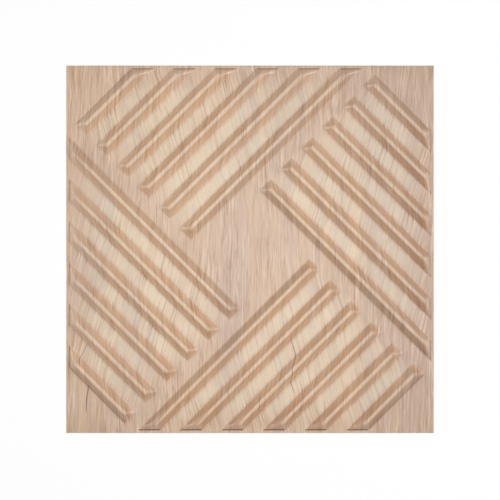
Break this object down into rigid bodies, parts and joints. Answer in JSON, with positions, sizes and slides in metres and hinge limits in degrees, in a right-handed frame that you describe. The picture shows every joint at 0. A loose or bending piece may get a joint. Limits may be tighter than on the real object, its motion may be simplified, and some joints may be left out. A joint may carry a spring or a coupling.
{
  "type": "wall panel tile",
  "caption": "Square formed wall panel tile with hollow diagonal ribs in a pinwheel and a pale wood-grain print, glued to a wall edge to edge with others.",
  "frame": {"origin": "centre of the panel on its back plane, where it lies on the wall", "axes": "+Z out of the decorated face, +Y up as the tile is shown, +X to the right"},
  "size_m": [0.5, 0.5, 0.01],
  "materials": {
    "printed_sheet": "satin"
  },
  "bodies": {
    "root": {"wall_panel": "printed_sheet"}
  },
  "joints": []
}
